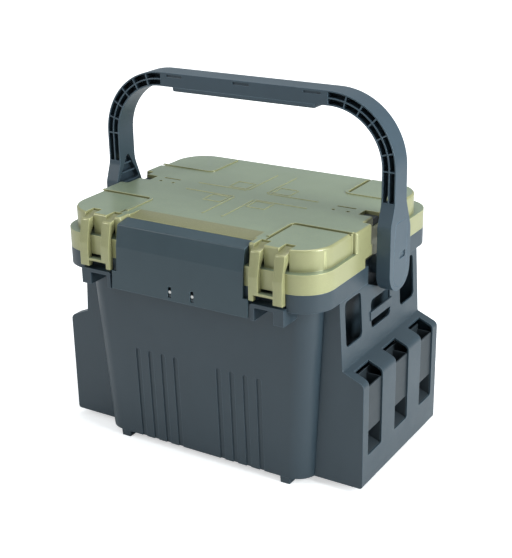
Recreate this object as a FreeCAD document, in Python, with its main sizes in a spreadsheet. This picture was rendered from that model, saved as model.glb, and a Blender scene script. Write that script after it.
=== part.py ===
import FreeCAD, Part
import math
import os
import Sketcher

# A fishing seat box: a deep tub with a padded-looking hard lid, pocketed side frames,
# two front latches, a front flap and a swinging carrying handle.
# Millimetres. X runs across the box, Y runs to the back, Z is up.
# The origin lies on the floor below the middle of the side frames.

# Each entry is one size that can be changed by itself.
SIZES = (
    # Heights that stack from the floor to the top of the lid
    ("foot_height", 10.0),
    ("tub_height", 257.2),
    ("rim_band", 24.2),
    ("lid_seam", 0.2),
    ("lid_band", 26.2),
    ("lid_rise", 28.2),
    # Outline of the rim and the lid
    ("half_width", 202.0),
    ("front_reach", 173.0),
    ("rear_reach", 171.0),
    ("corner_round", 43.5),
    # Tub
    ("tub_side_in_low", 35.0),
    ("tub_side_in_high", 20.0),
    ("tub_front_in_low", 34.0),
    ("tub_front_in_high", 24.5),
    ("tub_round", 30.0),
    ("tub_wall", 3.2),
    ("tub_floor", 3.5),
    ("rim_wall", 3.0),
    ("rim_web", 4.0),
    ("groove_width", 7.6),
    ("groove_pitch", 21.0),
    ("groove_first", 35.0),
    ("groove_depth", 1.6),
    ("groove_height", 140.0),
    ("foot_width", 16.0),
    ("foot_length", 18.0),
    ("foot_middle", 133.0),
    # Side frames with their pockets
    ("pocket_proud", 35.5),
    ("pocket_half_length", 116.3),
    ("pocket_height", 164.0),
    ("pocket_drop", 13.0),
    ("pocket_edge_round", 9.0),
    ("plate_proud", 5.0),
    ("frame_wall", 2.5),
    ("frame_gap", 0.3),
    ("cell_width", 41.0),
    ("cell_pitch", 80.7),
    ("cell_sill", 43.5),
    ("cell_lip_drop", 23.0),
    ("cell_panel_height", 64.5),
    ("cell_depth", 22.0),
    ("plate_window_width", 45.5),
    ("plate_window_offset", 80.5),
    ("plate_window_sill", 27.2),
    ("plate_window_drop", 4.0),
    ("plate_window_round", 7.0),
    ("middle_window_front", 31.0),
    ("middle_window_rear", 27.0),
    ("middle_window_height", 39.5),
    ("belt_bar_height", 12.7),
    ("belt_bar_rise", 11.7),
    ("belt_bar_proud", 1.5),
    ("belt_bar_lap", 3.2),
    ("recess_half_length", 40.0),
    ("recess_drop", 18.2),
    # Handle
    ("pivot_offset", 3.0),
    ("pivot_rise", 11.8),
    ("handle_clear", 7.0),
    ("handle_thick", 19.5),
    ("handle_rise", 230.5),
    ("handle_round", 96.0),
    ("handle_half_depth", 17.2),
    ("handle_rim", 1.8),
    ("handle_web", 3.0),
    ("handle_rib_step", 15.0),
    ("channel_reach", 41.0),
    ("flare_height", 63.0),
    ("flare_front", 30.5),
    ("flare_rear", 30.0),
    ("pad_drop", 29.0),
    ("grip_half_length", 112.4),
    ("grip_lip", 6.0),
    ("grip_slot_width", 26.0),
    ("grip_slot_height", 3.5),
    ("pivot_radius", 6.0),
    ("running_gap", 0.05),
    ("side_gap", 0.3),
    ("cap_half_width", 21.0),
    ("cap_top", 66.0),
    ("cap_drop", 24.0),
    ("cap_thick", 3.0),
    # Notch in the rim and the lid where the handle passes
    ("notch_depth", 12.0),
    ("notch_half_low", 49.0),
    ("notch_half_high", 30.0),
    ("notch_step", 12.5),
    # Lid
    ("lid_wall", 3.0),
    ("lid_skin", 4.5),
    ("block_past_latch", 6.6),
    ("block_side_in", 6.0),
    ("block_front_in", 8.0),
    ("block_rear_in", 19.0),
    ("block_round", 46.0),
    ("block_end", 78.0),
    ("block_gap", 3.0),
    ("block_gap_depth", 3.2),
    ("lid_edge_round", 3.0),
    ("bead_width", 4.0),
    ("bead_height", 1.6),
    ("emboss_width", 2.5),
    ("emboss_height", 0.8),
    ("slope_length", 25.5),
    ("slope_drop", 3.5),
    ("socket_front", -2.0),
    ("socket_rear", 19.0),
    ("socket_length", 21.0),
    ("socket_depth", 14.0),
    ("socket_wall", 4.0),
    ("liner_thick", 3.0),
    # Hinge at the back
    ("hinge_offset", 8.0),
    ("knuckle_radius", 6.5),
    ("hinge_pin_radius", 2.5),
    ("hinge_middle", 120.0),
    ("lid_knuckle_length", 13.4),
    ("tub_knuckle_length", 8.0),
    # Front flap
    ("flap_beside_latch", 9.9),
    ("flap_skirt_side", 7.5),
    ("flap_drop", 15.7),
    ("flap_notch_rise", 8.8),
    ("flap_proud", 7.7),
    ("flap_thick", 3.0),
    ("flap_slot_width", 5.6),
    ("flap_slot_left", 12.9),
    ("flap_slot_right", 22.1),
    ("flap_pin_radius", 1.2),
    ("flap_knuckle", 3.0),
    ("flap_axis_in", 23.0),
    ("stud_radius", 2.2),
    ("stud_drop", 4.2),
    ("stud_bore_depth", 8.0),
    ("strike_drop", 11.2),
    ("block_margin", 12.0),
    # Latches
    ("latch_to_corner", 1.7),
    ("latch_arm_width", 13.3),
    ("latch_width", 48.4),
    ("latch_proud", 8.5),
    ("latch_low_rise", 8.8),
    ("latch_bar_rise", 20.4),
    ("latch_bar_height", 3.0),
    ("latch_clear", 0.5),
    ("latch_knuckle", 4.5),
    ("latch_axis_in", 22.0),
    ("latch_pin_radius", 1.5),
    ("bay_depth", 10.5),
    ("bracket_proud", 6.5),
    ("bracket_drop", 17.7),
    ("bracket_rise", 4.8),
    ("bracket_bar", 5.0),
    # Tray inside
    ("tray_ledge_drop", 31.2),
    ("tray_height", 50.0),
    ("tray_half_depth", 100.0),
    ("tray_wall", 2.2),
    ("tray_corner", 3.0),
    ("tray_clearance", 3.0),
    # Fasteners
    ("screw_radius", 1.9),
    ("screw_head_radius", 4.0),
    ("screw_head_height", 2.4),
    ("screw_length", 14.0),
    ("boss_radius", 5.0),
)

doc = FreeCAD.newDocument("FishingSeatBox")
sheet = doc.addObject("Spreadsheet::Sheet", "Sizes")
for row, (alias, value) in enumerate(SIZES, start=1):
    sheet.set("A%d" % row, alias)
    sheet.set("B%d" % row, repr(value))
    sheet.setAlias("B%d" % row, alias)
doc.recompute()


class Size:
    """A length held both as a number and as the spreadsheet expression behind it."""

    def __init__(self, number, text):
        self.number = number
        self.text = text

    def __add__(self, other):
        other = as_size(other)
        return Size(self.number + other.number, "(%s + %s)" % (self.text, other.text))

    def __sub__(self, other):
        other = as_size(other)
        return Size(self.number - other.number, "(%s - %s)" % (self.text, other.text))

    def __mul__(self, other):
        other = as_size(other)
        return Size(self.number * other.number, "(%s * %s)" % (self.text, other.text))

    def __truediv__(self, other):
        other = as_size(other)
        return Size(self.number / other.number, "(%s / %s)" % (self.text, other.text))

    def __neg__(self):
        return Size(-self.number, "(0 - %s)" % self.text)

    def __radd__(self, other):
        return as_size(other) + self

    def __rsub__(self, other):
        return as_size(other) - self

    def __rmul__(self, other):
        return as_size(other) * self


def as_size(value):
    """Takes a plain number or a Size and gives a Size."""
    if isinstance(value, Size):
        return value
    return Size(float(value), repr(float(value)))


class SheetSizes:
    """Gives each alias of the sheet as a Size."""

    def __getattr__(self, alias):
        return Size(float(sheet.get(alias)), "Sizes." + alias)


S = SheetSizes()

# Heights and places worked out from the sheet
rim_low = S.foot_height + S.tub_height
rim_high = rim_low + S.rim_band
lid_low = rim_high + S.lid_seam
ledge = lid_low + S.lid_band
lid_top = ledge + S.lid_rise
pocket_top = S.foot_height + S.pocket_height
pocket_lip = pocket_top - S.pocket_drop
pivot_height = rim_low + S.pivot_rise
strike_face = S.front_reach - 1
stud_root = strike_face - S.stud_bore_depth + 1
stud_height = rim_low - S.stud_drop
hinge_depth = S.rear_reach + S.hinge_offset
handle_inner = S.half_width + S.handle_clear
handle_outer = handle_inner + S.handle_thick
handle_top = pivot_height + S.handle_rise
tub_half_width_low = S.half_width - S.tub_side_in_low
tub_half_width_high = S.half_width - S.tub_side_in_high
tub_half_depth_low = S.front_reach - S.tub_front_in_low
tub_half_depth_high = S.front_reach - S.tub_front_in_high
pocket_reach = S.half_width + S.pocket_proud
plate_reach = S.half_width + S.plate_proud
notch_reach = S.half_width - S.notch_depth
latch_outer = S.half_width - S.corner_round - S.latch_to_corner
latch_inner = latch_outer - S.latch_width
latch_face = S.front_reach + S.latch_proud
latch_low = rim_low + S.latch_low_rise
latch_bar_top = rim_low + S.latch_bar_rise
latch_axis_depth = S.front_reach - S.latch_axis_in
latch_axis_height = lid_top - 1 - S.latch_knuckle
bay_inner = latch_inner - 2 * S.latch_clear
bay_outer = latch_outer + 2 * S.latch_clear
bay_back = S.front_reach - S.bay_depth
bracket_face = S.front_reach + S.bracket_proud
bracket_low = rim_low - S.bracket_drop
block_inner = latch_inner + S.block_past_latch
block_outer = S.half_width - S.block_side_in
block_front = S.front_reach - S.block_front_in
block_rear = S.rear_reach - S.block_rear_in
flap_half_width = latch_inner - S.flap_beside_latch
flap_half_width_low = flap_half_width + S.flap_skirt_side
flap_low = rim_low - S.flap_drop
flap_notch = rim_low + S.flap_notch_rise
flap_face = S.front_reach + S.flap_proud
flap_axis_depth = S.front_reach - S.flap_axis_in
flap_axis_height = lid_top - S.flap_knuckle * 2
tray_ledge = rim_low - S.tray_ledge_drop
liner_top = ledge - S.lid_wall


def tub_side_at(height):
    """Outer half width of the leaning tub wall at a height."""
    climb = (height - S.foot_height) / (rim_high - S.foot_height)
    return tub_half_width_low + (tub_half_width_high - tub_half_width_low) * climb


def tub_front_at(height):
    """Outer half depth of the leaning tub wall at a height."""
    climb = (height - S.foot_height) / (rim_high - S.foot_height)
    return tub_half_depth_low + (tub_half_depth_high - tub_half_depth_low) * climb


# Outlines are lists of corners (x, y) or (x, y, radius), run round anticlockwise
def both_sides(right_half):
    """Completes an outline from its right half, front to back."""
    corners = [tuple(as_size(v) for v in corner) for corner in right_half]
    left_half = [(-corner[0],) + corner[1:] for corner in reversed(corners)]
    return corners + left_half


def rectangle(low_x, low_y, high_x, high_y, radius=None):
    """A rectangle, with its corners rounded if a radius is given."""
    ends = [(low_x, low_y), (high_x, low_y), (high_x, high_y), (low_x, high_y)]
    if radius is None:
        return ends
    return [(x, y, radius) for x, y in ends]


def centred_rectangle(half_x, half_y, radius=None):
    """A rectangle about the middle of the plan."""
    return rectangle(-half_x, -half_y, half_x, half_y, radius)


def inset(corners, amount):
    """Moves every side of a square-cornered outline inwards by an amount."""
    corners = [tuple(as_size(v) for v in corner) for corner in corners]
    count = len(corners)
    moved = []
    for index, corner in enumerate(corners):
        before = corners[index - 1]
        after = corners[(index + 1) % count]
        arrive = direction(before, corner)
        leave = direction(corner, after)
        shift_x = -arrive[1] - leave[1]
        shift_y = arrive[0] + leave[0]
        new = [corner[0] + amount * shift_x, corner[1] + amount * shift_y]
        if len(corner) == 3:
            outward = arrive[0] * leave[1] - arrive[1] * leave[0] > 0
            new.append(corner[2] - amount if outward else corner[2] + amount)
        moved.append(tuple(new))
    return moved


def direction(start, end):
    """Unit step along a side that runs along X or along Y."""
    step_x = end[0].number - start[0].number
    step_y = end[1].number - start[1].number
    if abs(step_x) > abs(step_y):
        return (int(math.copysign(1, step_x)), 0)
    return (0, int(math.copysign(1, step_y)))


# Helpers that make document objects whose sizes are bound to the sheet
def bind(item, path, value):
    """Binds one property of an object to a size."""
    item.setExpression(path, as_size(value).text)


def new_body(name):
    """Starts a body for one sub-part."""
    return doc.addObject("PartDesign::Body", name)


def origin_item(body, role):
    """The plane or axis of a body's own origin."""
    for item in body.Origin.OriginFeatures:
        if item.Role == role:
            return item
    raise RuntimeError("no " + role)


def new_sketch(body, name, role, offset=0, lean=None, across=0, along=0):
    """A sketch on one of the body's planes, moved along its normal and perhaps leaning."""
    sketch = body.newObject("Sketcher::SketchObject", name)
    sketch.AttachmentSupport = [(origin_item(body, role), "")]
    sketch.MapMode = "FlatFace"
    angle = as_size(lean).number if lean is not None else 0.0
    turn = FreeCAD.Rotation(FreeCAD.Vector(1, 0, 0), angle)
    sketch.AttachmentOffset = FreeCAD.Placement(FreeCAD.Vector(0, 0, 0), turn)
    bind(sketch, "AttachmentOffset.Base.x", across)
    bind(sketch, "AttachmentOffset.Base.y", along)
    bind(sketch, "AttachmentOffset.Base.z", offset)
    if lean is not None:
        bind(sketch, "AttachmentOffset.Rotation.Angle", lean)
    return sketch


def point_on_side(corner, towards, distance):
    """The point a distance from a corner towards another point."""
    step = (towards[0] - corner[0], towards[1] - corner[1])
    length = math.hypot(step[0], step[1])
    return (corner[0] + step[0] * distance / length, corner[1] + step[1] * distance / length)


def draw_outline(sketch, corners):
    """Draws a closed outline and ties each corner and radius to its size."""
    corners = [tuple(as_size(v) for v in corner) for corner in corners]
    count = len(corners)
    places = [(corner[0].number, corner[1].number) for corner in corners]
    entries, exits, arcs = [], [], []
    for index, corner in enumerate(corners):
        here, before, after = places[index], places[index - 1], places[(index + 1) % count]
        if len(corner) == 2:
            entries.append(here)
            exits.append(here)
            arcs.append(None)
            continue
        turn_in = math.atan2(here[1] - before[1], here[0] - before[0])
        turn_out = math.atan2(after[1] - here[1], after[0] - here[0])
        turn = math.remainder(turn_out - turn_in, 2 * math.pi)
        reach = corner[2].number * abs(math.tan(turn / 2))
        entries.append(point_on_side(here, before, reach))
        exits.append(point_on_side(here, after, reach))
        arcs.append(turn)
    flat = lambda point: FreeCAD.Vector(point[0], point[1], 0)
    first = sketch.GeometryCount
    shapes = []
    for index in range(count):
        end = entries[(index + 1) % count]
        shapes.append(Part.LineSegment(flat(exits[index]), flat(end)))
    arc_ids = {}
    for index, turn in enumerate(arcs):
        if turn is None:
            continue
        here = places[index]
        towards = math.atan2(
            (entries[index][1] + exits[index][1]) / 2 - here[1],
            (entries[index][0] + exits[index][0]) / 2 - here[0],
        )
        radius = corners[index][2].number
        away = radius / math.cos(turn / 2) - radius
        middle = (here[0] + away * math.cos(towards), here[1] + away * math.sin(towards))
        ends = (entries[index], exits[index]) if turn > 0 else (exits[index], entries[index])
        arc_ids[index] = first + len(shapes)
        shapes.append(Part.Arc(flat(ends[0]), flat(middle), flat(ends[1])))
    sketch.addGeometry(shapes, False)
    point_ids = {}
    for index in arc_ids:
        point_ids[index] = sketch.addGeometry(Part.Point(flat(places[index])), True)
    rules, ties = [], []
    for index, corner in enumerate(corners):
        line_in, line_out = first + (index - 1) % count, first + index
        if index in arc_ids:
            arc, point = arc_ids[index], point_ids[index]
            start, end = (1, 2) if arcs[index] > 0 else (2, 1)
            rules.append(Sketcher.Constraint("Tangent", line_in, 2, arc, start))
            rules.append(Sketcher.Constraint("Tangent", arc, end, line_out, 1))
            rules.append(Sketcher.Constraint("PointOnObject", point, 1, line_in))
            rules.append(Sketcher.Constraint("PointOnObject", point, 1, line_out))
            ties.append((len(rules), corner[2]))
            rules.append(Sketcher.Constraint("Radius", arc, corner[2].number))
            spot = (point, 1)
        else:
            rules.append(Sketcher.Constraint("Coincident", line_in, 2, line_out, 1))
            spot = (line_out, 1)
        for kind, value in (("DistanceX", corner[0]), ("DistanceY", corner[1])):
            ties.append((len(rules), value))
            rules.append(Sketcher.Constraint(kind, -1, 1, spot[0], spot[1], value.number))
    tie_down(sketch, rules, ties)


def draw_circle(sketch, x, y, radius):
    """Draws a circle and ties its centre and radius to their sizes."""
    x, y, radius = as_size(x), as_size(y), as_size(radius)
    centre = FreeCAD.Vector(x.number, y.number, 0)
    circle = sketch.addGeometry(Part.Circle(centre, FreeCAD.Vector(0, 0, 1), radius.number), False)
    rules = [
        Sketcher.Constraint("Radius", circle, radius.number),
        Sketcher.Constraint("DistanceX", -1, 1, circle, 3, x.number),
        Sketcher.Constraint("DistanceY", -1, 1, circle, 3, y.number),
    ]
    tie_down(sketch, rules, [(0, radius), (1, x), (2, y)])


def tie_down(sketch, rules, ties):
    """Adds constraints and binds the ones that carry a size."""
    base = sketch.ConstraintCount
    sketch.addConstraint(rules)
    for place, value in ties:
        sketch.setExpression("Constraints[%d]" % (base + place), value.text)


def finish_feature(body, feature, must_change):
    """Works the feature out and makes sure that it changed the solid."""
    if hasattr(feature, "Refine"):
        feature.Refine = False
    doc.recompute()
    body.Tip = feature
    volume = feature.Shape.Volume
    before = feature.BaseFeature.Shape.Volume if feature.BaseFeature else 0.0
    if must_change == "more" and volume <= before + 1e-3:
        raise RuntimeError(feature.Name + " added nothing")
    if must_change == "less" and volume >= before - 1e-3:
        raise RuntimeError(feature.Name + " cut nothing")
    return feature


def extrude(body, kind, name, role, outlines, length, offset=0, back=False, both=False,
            lean=None, along=0, taper=None):
    """Pads or pockets a sketch that holds outlines and circles."""
    sketch = new_sketch(body, name + "_sketch", role, offset, lean, along=along)
    for shape in outlines:
        if isinstance(shape, Circle):
            draw_circle(sketch, shape.x, shape.y, shape.radius)
        else:
            draw_outline(sketch, shape)
    feature = body.newObject("PartDesign::" + kind, name)
    feature.Profile = sketch
    feature.Reversed = back
    if both:
        feature.SideType = "Symmetric"
    bind(feature, "Length", length)
    if taper is not None:
        feature.TaperAngle = taper
    return finish_feature(body, feature, "more" if kind == "Pad" else "less")


def pad(body, name, role, outlines, length, **options):
    return extrude(body, "Pad", name, role, outlines, length, **options)


def cut(body, name, role, outlines, length, **options):
    return extrude(body, "Pocket", name, role, outlines, length, **options)


class Circle:
    """A circle in a sketch."""

    def __init__(self, x, y, radius):
        self.x = x
        self.y = y
        self.radius = radius


def loft(body, kind, name, sections):
    """A straight loft between level outlines, each given with its height."""
    sketches = []
    for number, (height, corners) in enumerate(sections):
        sketch = new_sketch(body, "%s_section_%d" % (name, number), "XY_Plane", height)
        draw_outline(sketch, corners)
        sketches.append(sketch)
    feature = body.newObject("PartDesign::" + kind, name)
    feature.Profile = sketches[0]
    feature.Sections = sketches[1:]
    feature.Ruled = True
    return finish_feature(body, feature, "more" if kind == "AdditiveLoft" else "less")


def round_edges(body, name, chosen, radius):
    """Rounds the edges of the solid so far that a test picks out."""
    base = body.Tip
    names = []
    for number, edge in enumerate(base.Shape.Edges, start=1):
        if chosen(edge):
            names.append("Edge%d" % number)
    feature = body.newObject("PartDesign::Fillet", name)
    feature.Base = (base, names)
    bind(feature, "Radius", radius)
    return finish_feature(body, feature, "any")


NODES = []


def keep(item, label):
    """Names a finished sub-part."""
    item.Label = label
    NODES.append(item)
    return item


def mirrored(source, name, label):
    """The left-hand twin of a right-hand sub-part."""
    twin = doc.addObject("Part::Mirroring", name)
    twin.Source = source
    twin.Normal = (1, 0, 0)
    twin.Base = (0, 0, 0)
    doc.recompute()
    return keep(twin, label)


def rod(name, radius, start, end, y, z):
    """A round bar that runs along X."""
    item = doc.addObject("Part::Cylinder", name)
    turn = FreeCAD.Rotation(FreeCAD.Vector(0, 0, 1), FreeCAD.Vector(1, 0, 0))
    item.Placement = FreeCAD.Placement(FreeCAD.Vector(0, 0, 0), turn)
    bind(item, "Radius", radius)
    bind(item, "Height", as_size(end) - start)
    bind(item, "Placement.Base.x", start)
    bind(item, "Placement.Base.y", y)
    bind(item, "Placement.Base.z", z)
    return item


def post(name, radius, x, y, low, high):
    """A round bar that stands upright."""
    item = doc.addObject("Part::Cylinder", name)
    bind(item, "Radius", radius)
    bind(item, "Height", as_size(high) - low)
    bind(item, "Placement.Base.x", x)
    bind(item, "Placement.Base.y", y)
    bind(item, "Placement.Base.z", low)
    return item


def fuse(name, items):
    """Joins pieces into one solid."""
    item = doc.addObject("Part::MultiFuse", name)
    item.Shapes = items
    return item


def group(name, items):
    """Keeps identical separate pieces together."""
    item = doc.addObject("Part::Compound", name)
    item.Links = items
    return item


# Plan outlines of the case
def case_outline(notch_half, bays, corner=S.corner_round):
    """The rim or lid seen from above, with the handle notches and perhaps the latch bays."""
    front = -S.front_reach
    half = []
    if bays:
        half.append((bay_inner, front))
        half.append((bay_inner, -bay_back))
        half.append((bay_outer, -bay_back))
        half.append((bay_outer, front))
    half.append((S.half_width, front, corner))
    half.append((S.half_width, S.pivot_offset - notch_half))
    half.append((notch_reach, S.pivot_offset - notch_half))
    half.append((notch_reach, S.pivot_offset + notch_half))
    half.append((S.half_width, S.pivot_offset + notch_half))
    half.append((S.half_width, S.rear_reach, corner))
    return both_sides(half)


def tub_outline(grow, high):
    """The tub wall seen from above, low down or at the rim."""
    half_width = tub_half_width_high if high else tub_half_width_low
    half_depth = tub_half_depth_high if high else tub_half_depth_low
    return centred_rectangle(half_width + grow, half_depth + grow, S.tub_round + grow)


# Tub
def add_front_grooves(body):
    """Shallow upright grooves in the leaning front and back walls."""
    run = rim_high - S.foot_height
    lean_size = tub_half_depth_high - tub_half_depth_low
    angle = math.degrees(math.atan(lean_size.number / run.number))
    lean = Size(angle, "atan(%s / %s)" % (lean_size.text, run.text))
    grooves = []
    for number in range(4):
        middle = S.groove_first + number * S.groove_pitch
        for side in (-1, 1):
            low = side * middle - S.groove_width / 2
            high = side * middle + S.groove_width / 2
            top_round = S.groove_width * 0.45
            grooves.append([(low, -1), (high, -1), (high, S.groove_height, top_round),
                            (low, S.groove_height, top_round)])
    front = cut(body, "front_grooves", "XZ_Plane", grooves, S.groove_depth,
                offset=tub_half_depth_low, along=S.foot_height, lean=lean)
    rear = body.newObject("PartDesign::Mirrored", "rear_grooves")
    rear.Originals = [front]
    rear.MirrorPlane = (origin_item(body, "XZ_Plane"), [""])
    finish_feature(body, rear, "less")


def add_latch_brackets(body):
    """The open brackets below the latches and the catch ledges above them."""
    inner = latch_inner + 1.6
    outer = latch_outer + 1.2
    top = rim_low + S.bracket_rise
    bar_low = top - S.bracket_bar
    shapes = []
    for side in (1, -1):
        arch = [(inner, bracket_low), (inner + 5, bracket_low), (inner + 5, bar_low, 2),
                (outer - 15, bar_low, 2), (outer - 15, bracket_low), (outer, bracket_low),
                (outer, top, 2), (inner, top, 2)]
        shapes.append([(side * corner[0],) + corner[1:] for corner in arch][::side])
    reach = bracket_face - tub_front_at(bracket_low) + S.tub_wall / 2
    pad(body, "latch_brackets", "XZ_Plane", shapes, reach, offset=bracket_face, back=True)
    ledge_low = latch_bar_top + 0.4
    ledges = []
    for side in (1, -1):
        first = inner + 2 if side == 1 else -(outer - 2)
        last = outer - 2 if side == 1 else -(inner + 2)
        ledges.append(rectangle(first, ledge_low, last, ledge_low + 3))
    pad(body, "catch_ledges", "XZ_Plane", ledges, 5.5, offset=bay_back + 4.5, back=True)


def add_strike_block(body):
    """The block behind the flap that carries the two studs."""
    margin = S.block_margin
    low = rim_low - S.strike_drop
    outline = rectangle(-S.flap_slot_left - margin, low, S.flap_slot_right + margin, rim_low + 4)
    reach = strike_face - tub_front_at(low) + S.tub_wall / 2
    pad(body, "strike_block", "XZ_Plane", [outline], reach, offset=strike_face, back=True)
    bores = [Circle(-S.flap_slot_left, stud_height, S.stud_radius + S.running_gap),
             Circle(S.flap_slot_right, stud_height, S.stud_radius + S.running_gap)]
    cut(body, "stud_bores", "XZ_Plane", bores, S.stud_bore_depth, offset=strike_face)


def add_feet(body):
    """Four short tapered feet under the front and back walls."""
    shapes = []
    for side in (1, -1):
        middle = side * S.foot_middle
        low, high = middle - S.foot_width / 2, middle + S.foot_width / 2
        face = tub_half_depth_low - 0.6
        shapes.append(rectangle(low, -face, high, -face + S.foot_length, 2))
        shapes.append(rectangle(low, face - S.foot_length, high, face, 2))
    pad(body, "feet", "XY_Plane", shapes, S.foot_height, offset=S.foot_height, back=True,
        taper=-4)


def add_knuckles(body, name, stations, web_above):
    """Hinge knuckles, each a ring on the hinge axis with a web to the case."""
    for number, (start, length) in enumerate(stations):
        ring = Circle(hinge_depth, rim_high, S.knuckle_radius)
        near = S.rear_reach - S.rim_wall / 2
        if web_above:
            web = rectangle(near, rim_high + 0.3, hinge_depth, rim_high + S.knuckle_radius)
        else:
            web = rectangle(near, rim_high - S.knuckle_radius, hinge_depth, rim_high - 0.3)
        pad(body, "%s_web_%d" % (name, number), "YZ_Plane", [web], length, offset=start)
        pad(body, "%s_ring_%d" % (name, number), "YZ_Plane", [ring], length, offset=start)
    span = S.hinge_middle + 20
    bore = Circle(hinge_depth, rim_high, S.hinge_pin_radius + S.running_gap)
    cut(body, name + "_bore", "YZ_Plane", [bore], 2 * span, both=True)


def tub_knuckle_stations():
    """Where the tub's knuckles start, on both sides."""
    lid_half = S.lid_knuckle_length / 2 + S.side_gap
    starts = []
    for side in (1, -1):
        starts.append((side * S.hinge_middle + lid_half, S.tub_knuckle_length))
        starts.append((side * S.hinge_middle - lid_half - S.tub_knuckle_length,
                       S.tub_knuckle_length))
    return starts


def lid_knuckle_stations():
    """Where the lid's knuckles start, on both sides."""
    half = S.lid_knuckle_length / 2
    return [(side * S.hinge_middle - half, S.lid_knuckle_length) for side in (1, -1)]


def frame_screw_places():
    """Where the upright screws hold one side frame to the rim."""
    x = (tub_side_at(rim_high) + S.half_width - S.rim_wall) / 2
    return [(x, side * distance) for side in (-1, 1) for distance in (72, 104)]


def add_frame_bosses(body):
    """Bosses in the rim channel that the side frames are screwed to."""
    rings, bores = [], []
    for x, y in frame_screw_places():
        for side in (1, -1):
            rings.append(Circle(side * x, y, S.boss_radius))
            bores.append(Circle(side * x, y, S.screw_radius + S.running_gap))
    height = S.rim_band - S.rim_web / 2
    pad(body, "frame_bosses", "XY_Plane", rings, height, offset=rim_low)
    cut(body, "frame_boss_bores", "XY_Plane", bores, S.screw_length, offset=rim_low, back=True)


def add_pivot_bosses(body):
    """The bosses at the bottom of the side notches that carry the handle pins."""
    reach = handle_inner - 8
    start = notch_reach - S.rim_wall / 2
    disc = Circle(S.pivot_offset, pivot_height, S.pivot_radius * 2)
    bore = Circle(S.pivot_offset, pivot_height, S.pivot_radius + S.running_gap)
    pad(body, "pivot_boss_right", "YZ_Plane", [disc], reach - start, offset=start)
    pad(body, "pivot_boss_left", "YZ_Plane", [disc], reach - start, offset=-start, back=True)
    depth = reach - notch_reach + S.rim_wall
    cut(body, "pivot_bore_right", "YZ_Plane", [bore], depth, offset=reach)
    cut(body, "pivot_bore_left", "YZ_Plane", [bore], depth, offset=-reach, back=True)


def add_tray_ledges(body):
    """Two ledges inside the side walls for the tray to sit on."""
    outer = tub_side_at(tray_ledge) - S.tub_wall / 2
    shelves = []
    for side in (1, -1):
        ends = [side * outer, side * (outer - 9)]
        low, high = sorted(ends, key=lambda end: end.number)
        shelves.append(rectangle(low, -70, high, 70))
    pad(body, "tray_ledges", "XY_Plane", shelves, 4, offset=tray_ledge, back=True)


def make_tub():
    """The tub with its rim, brackets, feet and hinge knuckles in one moulding."""
    body = new_body("tub_body")
    loft(body, "AdditiveLoft", "tub_outside", [
        (S.foot_height, tub_outline(0, False)), (rim_high, tub_outline(0, True))])
    outline = case_outline(S.recess_half_length, True)
    pad(body, "rim", "XY_Plane", [outline], S.rim_band, offset=rim_low)
    channel = case_outline(S.recess_half_length, True, S.corner_round - 4)
    ring = [inset(channel, S.rim_wall), tub_outline(0, True)]
    cut(body, "rim_channel", "XY_Plane", ring, S.rim_band - S.rim_web, offset=rim_low, back=True)
    add_frame_bosses(body)
    add_latch_brackets(body)
    add_strike_block(body)
    add_feet(body)
    add_pivot_bosses(body)
    add_knuckles(body, "tub_knuckle", tub_knuckle_stations(), False)
    loft(body, "SubtractiveLoft", "tub_inside", [
        (S.foot_height + S.tub_floor, tub_outline(-S.tub_wall, False)),
        (rim_high, tub_outline(-S.tub_wall, True))])
    add_tray_ledges(body)
    add_front_grooves(body)
    return keep(body, "tub")


# Side frames
def recess_outline(grow):
    """The recess round the handle pivot, seen from the side."""
    half = S.recess_half_length
    middle = S.pivot_offset
    shoulder = rim_low - 2
    bottom = rim_low - S.recess_drop
    return [
        (middle - half - grow, rim_low),
        (middle - half + 1 - grow, shoulder - grow * 0.5, 1.5 + grow),
        (middle, bottom - grow * 1.15, 20),
        (middle + half - 1 + grow, shoulder - grow * 0.5, 1.5 + grow),
        (middle + half + grow, rim_low),
    ]


def plate_face_at(height):
    """Outer face of the leaning upper plate at a height; it meets the rim flush."""
    climb = (height - pocket_top) / (rim_low - pocket_top)
    return plate_reach - (plate_reach - S.half_width) * climb


def plate_windows():
    """The three openings in the upper plate."""
    top = rim_low - S.plate_window_drop
    low = pocket_top + S.plate_window_sill
    half = S.plate_window_width / 2
    radius = S.plate_window_round
    front = rectangle(-S.plate_window_offset - half, low, -S.plate_window_offset + half, top,
                      radius)
    rear = rectangle(S.plate_window_offset - half, low, S.plate_window_offset + half, top,
                     radius)
    middle = rectangle(-S.middle_window_front, low, S.middle_window_rear,
                       low + S.middle_window_height, radius)
    return [front, middle, rear]


def belt_bar_level():
    """Height of the belt bar's lower edge."""
    return pocket_top + S.plate_window_sill + S.belt_bar_rise


def belt_bar_seat():
    """How far out the belt bar's inner face lies."""
    return plate_face_at(belt_bar_level() + S.belt_bar_height / 2) - S.frame_wall / 2


def belt_bar_outline(grow):
    """The belt bar seen from the side."""
    low = belt_bar_level() - grow
    return rectangle(-S.middle_window_front - S.belt_bar_lap - grow, low,
                     S.middle_window_rear + S.belt_bar_lap + grow,
                     low + S.belt_bar_height + 2 * grow)


def cell_middles():
    """Middles of the three pockets along a side."""
    return [number * S.cell_pitch for number in (-1, 0, 1)]


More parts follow.
